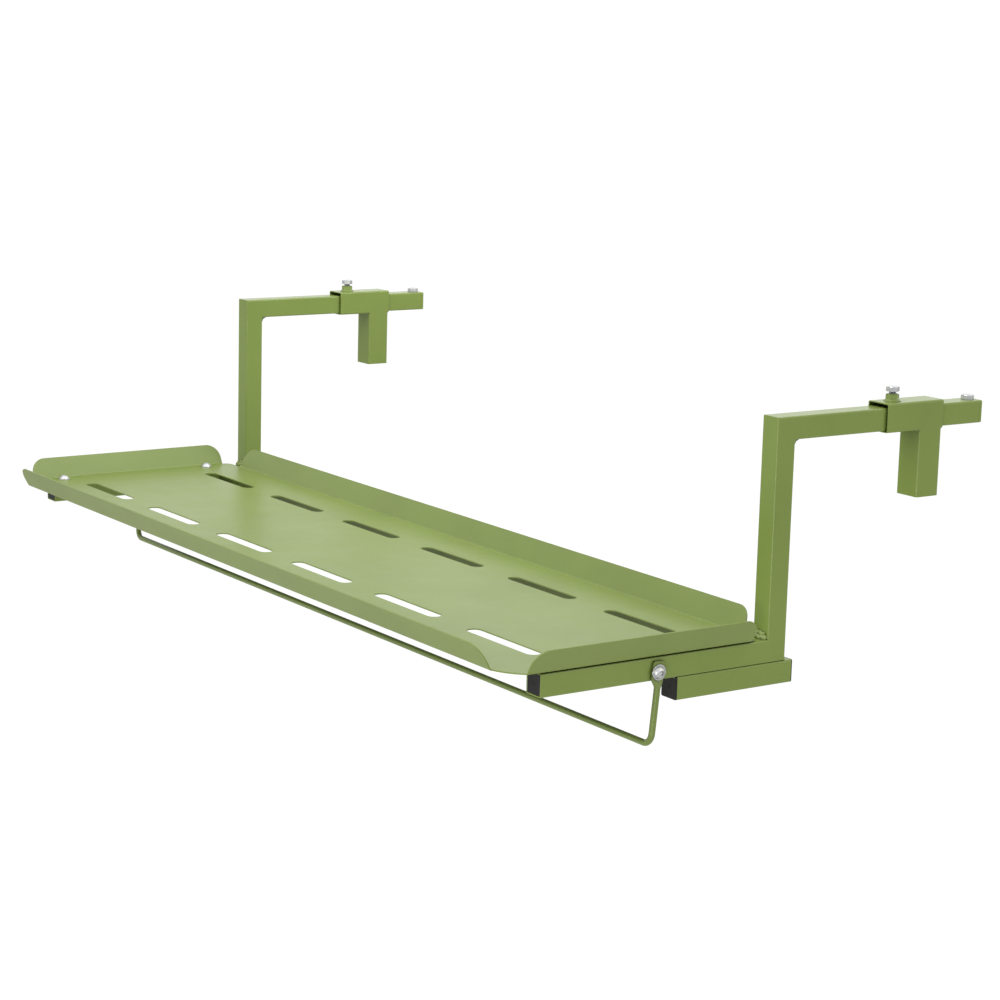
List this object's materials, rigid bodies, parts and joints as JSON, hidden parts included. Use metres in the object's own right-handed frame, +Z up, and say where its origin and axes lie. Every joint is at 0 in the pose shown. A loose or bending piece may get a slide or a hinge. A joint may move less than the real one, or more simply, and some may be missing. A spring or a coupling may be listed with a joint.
{
  "type": "balcony railing bar table",
  "caption": "Long slotted tray with raised edges on two hooked square-tube brackets, with sliding clamps and a swinging rod, hung on a balcony railing as a bar table.",
  "frame": {"origin": "half way between the two hooks, where the underside of the top arms meets the rear face of the posts", "axes": "+X along the railing, +Y over the railing away from the user, +Z up"},
  "size_m": [1.201, 0.642, 0.3537],
  "materials": {
    "tray_paint": "satin powder coat, light olive green",
    "frame_paint": "satin powder coat, olive green",
    "rod_paint": "satin powder coat, olive green",
    "black_plastic": "matt black tube plugs",
    "zinc": "bright zinc-plated steel"
  },
  "bodies": {
    "root": {"tray": "tray_paint", "rear_cross_tube": "frame_paint", "tray_bolts": "zinc", "tray_washers": "zinc", "tray_inserts": "zinc", "left_top_arm": "frame_paint", "left_post": "frame_paint", "left_lower_arm": "frame_paint", "left_spacer_tube": "frame_paint", "left_arm_end_plate": "frame_paint", "left_lower_arm_cap": "black_plastic", "left_spacer_caps": "black_plastic", "left_stop_bolt": "zinc", "left_stop_nut": "zinc", "left_pivot_bolt": "zinc", "left_pivot_washers": "zinc", "left_lock_nut": "zinc", "right_top_arm": "frame_paint", "right_post": "frame_paint", "right_lower_arm": "frame_paint", "right_spacer_tube": "frame_paint", "right_arm_end_plate": "frame_paint", "right_lower_arm_cap": "black_plastic", "right_spacer_caps": "black_plastic", "right_stop_bolt": "zinc", "right_stop_nut": "zinc", "right_pivot_bolt": "zinc", "right_pivot_washers": "zinc", "right_lock_nut": "zinc"},
    "left_clamp": {"left_clamp_sleeve": "frame_paint", "left_clamp_leg": "frame_paint", "left_clamp_leg_cap": "black_plastic", "left_clamp_nut": "frame_paint"},
    "left_clamp_screw": {"left_clamp_bolt": "zinc"},
    "right_clamp": {"right_clamp_sleeve": "frame_paint", "right_clamp_leg": "frame_paint", "right_clamp_leg_cap": "black_plastic", "right_clamp_nut": "frame_paint"},
    "right_clamp_screw": {"right_clamp_bolt": "zinc"},
    "rod": {"hanging_rod": "rod_paint"}
  },
  "joints": [
    {"name": "left_clamp_slide", "type": "slide", "parent": "root", "child": "left_clamp", "axis": [0, 1, 0], "range_m": [-0.12, 0.04]},
    {"name": "left_clamp_screw_travel", "type": "slide", "parent": "left_clamp", "child": "left_clamp_screw", "axis": [0, 0, 1], "range_m": [0, 0.006]},
    {"name": "right_clamp_slide", "type": "slide", "parent": "root", "child": "right_clamp", "axis": [0, 1, 0], "range_m": [-0.12, 0.04]},
    {"name": "right_clamp_screw_travel", "type": "slide", "parent": "right_clamp", "child": "right_clamp_screw", "axis": [0, 0, 1], "range_m": [0, 0.006]},
    {"name": "rod_swing", "type": "hinge", "parent": "root", "child": "rod", "pos_m": [0, -0.1725, -0.228], "axis": [1, 0, 0], "range_deg": [-73, 62]}
  ]
}
